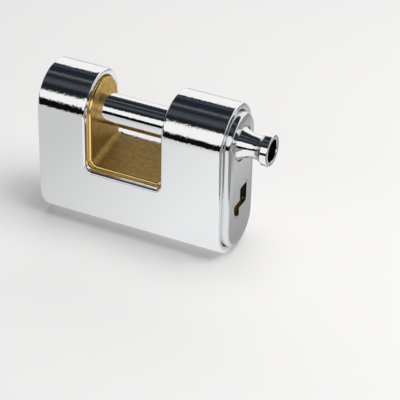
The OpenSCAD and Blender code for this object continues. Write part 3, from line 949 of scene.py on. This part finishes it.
class PADLOCK_OT_plug(bpy.types.Operator):
    """Build the cylinder plug with its stepped keyway"""

    bl_idname = "padlock.plug"
    bl_label = "Cylinder plug"

    def execute(self, context):
        plug = context.scene.padlock_plug
        steps = context.scene.padlock_finish.facets
        flange_r = (PLUG_HIGH.z - PLUG_LOW.z) / 2
        face = PLUG_HIGH.x
        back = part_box("locking_pin")[1].x - plug.back_reach
        seat = face - plug.flange_depth
        profile = [
            (PLUG_LOW.x, 0.0),
            (PLUG_LOW.x, plug.tail_radius),
            (back, plug.tail_radius),
            (back, plug.radius),
            (seat, plug.radius),
            (seat, flange_r),
        ]
        profile += corner(face, flange_r, plug.flange_edge, "right_out", 3)
        profile += [(face, 0.0)]
        finishes = ("face_plate", "keyway_brass_painted_shade", "keyway_painted_shadow", "keyway_painted_lit_ledge")
        body = mesh_object("keyed_plug", turned_x(profile, PLUG_Z, steps), *finishes)
        deep, shallow = back + plug.slot_stop, face - plug.mouth_depth
        mouth_reach = flange_r - plug.mouth_land
        carve(
            body,
            keyway_cutter(plug, 0, plug.slot_reach, deep, face + PAST, steps),
            keyway_cutter(plug, plug.mouth_rim, mouth_reach, shallow, face + PAST, steps),
        )
        # Painted light and shade in the keyway: upper walls near black as painted shadow, upper ledges facing
        # out lighter as painted light, the lower part darkened brass as painted shade
        front_depth, lower_half = 0.2 * MM, PLUG_Z - 2 * MM
        for p in body.data.polygons:
            if p.center.x > face - front_depth:
                p.material_index = 0
            elif p.center.z > lower_half:
                p.material_index = 3 if p.normal.x > 0.9 else 2
            else:
                p.material_index = 1
        smooth_by_angle(body)
        for p in body.data.polygons:
            if p.normal.x > 0.99:
                p.use_smooth = False
        place(body, "cylinder_plug", "plug_plating", "plug")
        return {"FINISHED"}


class PADLOCK_OT_fixings(bpy.types.Operator):
    """Give the pins, springs, cam and seal their finishes"""

    bl_idname = "padlock.fixings"
    bl_label = "Pins and springs"

    def execute(self, context):
        finishes = {
            "inner_brass": ("bore_plug", "key_pin", "chamber_cap"),
            "inner_steel": ("cam", "plug_pin", "locking", "plate_dowel", "driver_pin", "pin_spring"),
            "hard_steel": ("drill_pin",),
            "pin_steel": ("core_pin",),
            "seal_rubber": ("bolt_seal",),
        }
        for finish, starts in finishes.items():
            for name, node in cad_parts.items():
                if name.startswith(starts):
                    node.data.materials.clear()
                    node.data.materials.append(material_of(finish))
                    smooth_by_angle(node)
        return {"FINISHED"}


def add_floor(settings):
    """A seamless pale floor that ends a hand's length before the lock.

    What metal mirrors of it is a painted reflection set by place: bright under the lock, with a painted
    shadow beside the end plate and a painted dark patch to its right.
    """
    bm = bmesh.new()
    bmesh.ops.create_grid(bm, x_segments=4, y_segments=4, size=0.5)
    bmesh.ops.scale(bm, verts=bm.verts, vec=(*FLOOR_SIZE, 1))
    bmesh.ops.translate(bm, verts=bm.verts, vec=(0, FLOOR_MIDDLE, 0))
    floor = mesh_object("floor", bm)
    material, shader, nodes, links = new_material("floor_paper")
    shader.inputs["Base Color"].default_value = (*settings.floor_colour, 1)
    shader.inputs["Roughness"].default_value = 0.7
    shader.inputs["Specular IOR Level"].default_value = 0.2
    coords = nodes.new("ShaderNodeTexCoord")
    split = nodes.new("ShaderNodeSeparateXYZ")
    links.new(coords.outputs["Object"], split.inputs["Vector"])

    # Painted reflection: how bright metal sees the floor, by the place along the lock in mm, ahead of the
    # lock and beside it; the dip beside it near 44 mm is a painted shadow, and the dark past 85 mm a painted
    # dark patch
    left, right = -100, 150
    ahead = [(-60, 0.62), (15, 0.92), (76, 0.95), (81, 0.9), (85, 0.2), (130, 0.25)]
    beside = [(-60, 0.62), (15, 0.92), (30, 0.9), (44, 0.34), (54, 0.4), (70, 0.6), (85, 0.25)]
    across = nodes.new("ShaderNodeMapRange")
    across.inputs["From Min"].default_value = left * MM
    across.inputs["From Max"].default_value = right * MM
    links.new(split.outputs["X"], across.inputs["Value"])
    both = nodes.new("ShaderNodeMixRGB")
    for stops, socket in ((ahead, "Color1"), (beside, "Color2")):
        shade = nodes.new("ShaderNodeValToRGB")
        fill_ramp(shade, [((x - left) / (right - left), (grey, grey, grey)) for x, grey in stops])
        links.new(across.outputs["Result"], shade.inputs["Fac"])
        links.new(shade.outputs["Color"], both.inputs[socket])
    depth = eased(nodes, links, split.outputs["Y"], -12 * MM, 4 * MM)
    links.new(depth.outputs["Result"], both.inputs["Fac"])

    # Painted reflection: glossy rays see the greys above as emitted light, in place of the lit floor
    painted_reflection = nodes.new("ShaderNodeEmission")
    ray = nodes.new("ShaderNodeLightPath")
    mirrored = nodes.new("ShaderNodeMath")
    mirrored.operation = "MULTIPLY"
    mirrored.inputs[1].default_value = 0.9
    mix = nodes.new("ShaderNodeMixShader")
    links.new(both.outputs["Color"], painted_reflection.inputs["Color"])
    links.new(ray.outputs["Is Glossy Ray"], mirrored.inputs[0])
    links.new(mirrored.outputs["Value"], mix.inputs["Fac"])
    links.new(shader.outputs["BSDF"], mix.inputs[1])
    links.new(painted_reflection.outputs["Emission"], mix.inputs[2])
    links.new(mix.outputs["Shader"], nodes["Material Output"].inputs["Surface"])
    floor.data.materials.append(material)


def add_lamp(name, location, target, size, power):
    """A soft lamp that metal doesn't mirror."""
    light = bpy.data.lights.new(name, "AREA")
    light.shape = "SQUARE"
    light.size = size
    light.energy = power
    lamp = bpy.data.objects.new(name, light)
    lamp.location = location
    lamp.rotation_euler = (Vector(target) - Vector(location)).to_track_quat("-Z", "Y").to_euler()
    lamp.visible_glossy = False
    lamp.visible_camera = False
    bpy.context.scene.collection.objects.link(lamp)


def add_studio_world():
    """The studio that the metal mirrors, by the angle from level in front, over the top, to level behind.

    From below: the table, a dark gap, a white wall that widens to the right, a dark ceiling, and a white
    wall behind.
    """
    world = bpy.data.worlds.new("studio")
    bpy.context.scene.world = world
    world.use_nodes = True
    nodes, links = world.node_tree.nodes, world.node_tree.links
    nodes.clear()

    def node(kind, **inputs):
        made = nodes.new(kind)
        for key, value in inputs.items():
            plug = made.inputs[key.replace("_", " ")]
            if isinstance(value, bpy.types.NodeSocket):
                links.new(value, plug)
            else:
                plug.default_value = value
        return made

    def soft_step(value, low, high):
        made = node("ShaderNodeMapRange", Value=value, From_Min=low, From_Max=high)
        made.interpolation_type = "SMOOTHSTEP"
        return made.outputs["Result"]

    def shifted(value, by):
        made = node("ShaderNodeMath")
        links.new(value, made.inputs[0])
        made.inputs[1].default_value = by
        return made.outputs["Value"]

    def mixed(mask, colour_low, colour_high):
        made = node("ShaderNodeMix")
        made.data_type = "RGBA"
        links.new(mask, made.inputs["Factor"])
        for socket, value in ((made.inputs["A"], colour_low), (made.inputs["B"], colour_high)):
            if isinstance(value, bpy.types.NodeSocket):
                links.new(value, socket)
            else:
                socket.default_value = (*value, 1)
        return made.outputs["Result"]

    direction = node("ShaderNodeTexCoord")
    split = node("ShaderNodeSeparateXYZ", Vector=direction.outputs["Generated"])
    forward = node("ShaderNodeMath")
    forward.operation = "MULTIPLY"
    links.new(split.outputs["Y"], forward.inputs[0])
    forward.inputs[1].default_value = -1
    angle = node("ShaderNodeMath")
    angle.operation = "ARCTAN2"
    links.new(split.outputs["Z"], angle.inputs[0])
    links.new(forward.outputs["Value"], angle.inputs[1])
    turn = node("ShaderNodeMath")
    turn.operation = "DEGREES"
    links.new(angle.outputs["Value"], turn.inputs[0])
    theta = turn.outputs["Value"]

    def wall_edge(narrow, wide):
        step = {"From_Min": -0.43, "From_Max": -0.35, "To_Min": narrow, "To_Max": wide}
        return node("ShaderNodeMapRange", Value=split.outputs["X"], **step).outputs["Result"]

    table_low, table_high = -16, -14
    low_edge, high_edge = wall_edge(9.5, 3.5), wall_edge(32, 40)
    behind_low, behind_high = 133, 137
    white = (1.0, 0.99, 0.98)
    black = (0.004, 0.004, 0.005)
    ceiling = nodes.new("ShaderNodeValToRGB")
    stops = [
        (30, (0.02, 0.024, 0.03)),
        (52, (0.012, 0.014, 0.018)),
        (62, (0.07, 0.08, 0.09)),
        (72, (0.05, 0.06, 0.07)),
        (80, (0.014, 0.018, 0.026)),
        (88, (0.03, 0.035, 0.045)),
        (94, (0.14, 0.14, 0.14)),
        (100, (0.02, 0.025, 0.035)),
        (116, (0.012, 0.018, 0.03)),
        (124, (0.06, 0.065, 0.08)),
        (132, (0.02, 0.025, 0.035)),
    ]
    fill_ramp(ceiling, [(degrees / 180, colour) for degrees, colour in stops])
    over = node("ShaderNodeMapRange", Value=theta, From_Min=0.0, From_Max=180.0)
    links.new(over.outputs["Result"], ceiling.inputs["Fac"])

    colour = mixed(soft_step(theta, table_low, table_high), white, black)
    colour = mixed(soft_step(theta, shifted(low_edge, -1), shifted(low_edge, 1)), colour, white)
    above = soft_step(theta, shifted(high_edge, -2), shifted(high_edge, 3))
    colour = mixed(above, colour, ceiling.outputs["Color"])
    colour = mixed(soft_step(theta, behind_low, behind_high), colour, white)
    seen = node("ShaderNodeLightPath")
    colour = mixed(seen.outputs["Is Camera Ray"], colour, BACKDROP)
    background = node("ShaderNodeBackground", Color=colour, Strength=1.0)
    node("ShaderNodeOutputWorld", Surface=background.outputs["Background"])


def add_camera(settings):
    """The camera at the photograph's angle."""
    a, e, roll = settings.azimuth, settings.elevation, settings.roll
    right = Vector((math.cos(a), math.sin(a), 0))
    back = Vector((math.sin(a) * math.cos(e), -math.cos(a) * math.cos(e), math.sin(e)))
    up = back.cross(right)
    side = math.cos(roll) * right + math.sin(roll) * up
    top = -math.sin(roll) * right + math.cos(roll) * up
    data = bpy.data.cameras.new("camera")
    data.sensor_width = 36
    data.lens = settings.lens
    data.clip_end = 20
    camera = bpy.data.objects.new("camera", data)
    turn = Matrix((side, top, back)).transposed().to_4x4()
    camera.matrix_world = Matrix.Translation(CAMERA_PLACE) @ turn
    bpy.context.scene.collection.objects.link(camera)
    bpy.context.scene.camera = camera


class PADLOCK_OT_stage(bpy.types.Operator):
    """Add the floor, the soft lamps, the studio and the camera"""

    bl_idname = "padlock.stage"
    bl_label = "Stage"

    def execute(self, context):
        settings = context.scene.padlock_stage
        add_floor(settings)
        add_studio_world()
        for lamp in LAMPS:
            add_lamp(*lamp)
        add_camera(settings)
        context.scene.view_settings.view_transform = "Standard"
        return {"FINISHED"}


class PADLOCK_PT_panel(bpy.types.Panel):
    """Lists the padlock's build steps"""

    bl_label = "Armoured padlock"
    bl_idname = "PADLOCK_PT_panel"
    bl_space_type = "VIEW_3D"
    bl_region_type = "UI"
    bl_category = "Padlock"

    def draw(self, context):
        for operator in OPERATORS:
            self.layout.operator(operator.bl_idname)
        for name in SETTINGS:
            box = self.layout.box()
            settings = getattr(context.scene, name)
            for key in settings.__annotations__:
                box.prop(settings, key)


OPERATORS = (
    PADLOCK_OT_armour,
    PADLOCK_OT_core,
    PADLOCK_OT_end_plate,
    PADLOCK_OT_bolt,
    PADLOCK_OT_plug,
    PADLOCK_OT_fixings,
    PADLOCK_OT_stage,
)


def register():
    for name, settings in SETTINGS.items():
        bpy.utils.register_class(settings)
        setattr(bpy.types.Scene, name, PointerProperty(type=settings))
    for cls in (*OPERATORS, PADLOCK_PT_panel):
        bpy.utils.register_class(cls)


def unregister():
    for cls in reversed((*OPERATORS, PADLOCK_PT_panel)):
        bpy.utils.unregister_class(cls)
    for name, settings in SETTINGS.items():
        delattr(bpy.types.Scene, name)
        bpy.utils.unregister_class(settings)


def main():
    register()
    bpy.ops.padlock.armour()
    bpy.ops.padlock.core()
    bpy.ops.padlock.end_plate()
    bpy.ops.padlock.bolt()
    bpy.ops.padlock.plug()
    bpy.ops.padlock.fixings()
    bpy.ops.padlock.stage()


if __name__ == "__main__":
    main()
